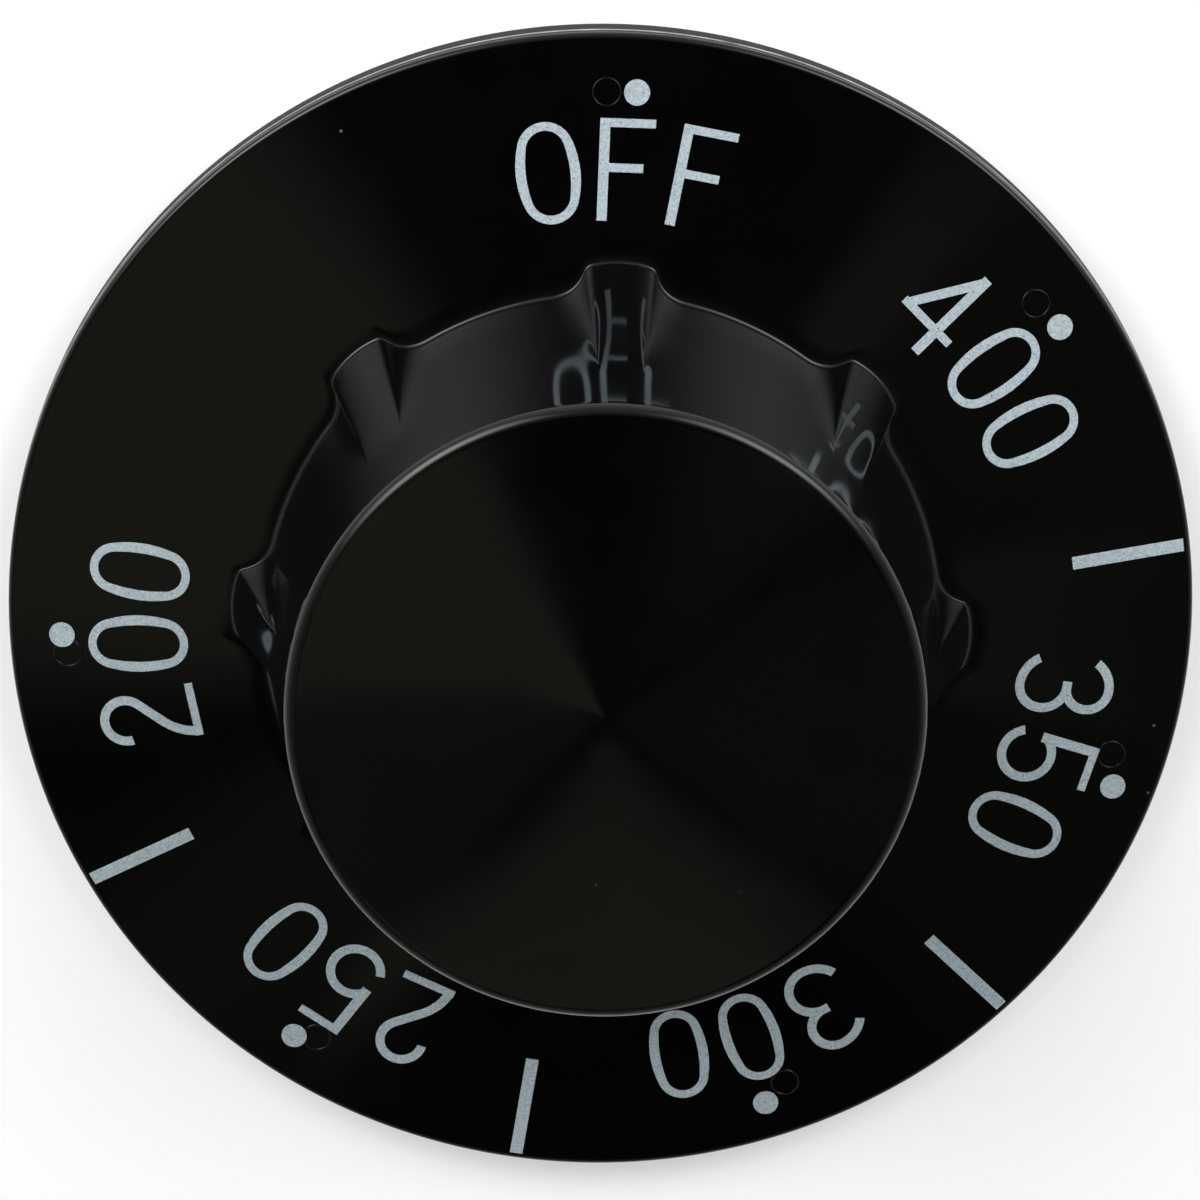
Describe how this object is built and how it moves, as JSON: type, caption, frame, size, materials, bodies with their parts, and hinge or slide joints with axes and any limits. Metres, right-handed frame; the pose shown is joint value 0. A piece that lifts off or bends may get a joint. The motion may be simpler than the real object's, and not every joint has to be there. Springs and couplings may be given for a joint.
{
  "type": "oven control knob",
  "caption": "Black moulded push-on dial knob with a flared skirt, white temperature print, a ribbed tapered grip and a split stem with a spring band for a flatted shaft.",
  "frame": {"origin": "centre of the back rim, on the shaft's axis", "axes": "+Z along the shaft's axis, out of the panel to the grip's front face; +Y to the OFF mark; +X to the right as the dial is read"},
  "size_m": [0.0603, 0.0602, 0.0207],
  "materials": {
    "black_plastic": "polished black moulding",
    "spring_steel": "bright spring steel strip",
    "white_ink": "satin white ink"
  },
  "bodies": {
    "root": {"knob_body": "black_plastic", "shaft_clip": "spring_steel", "dial_print": "white_ink"}
  },
  "joints": []
}
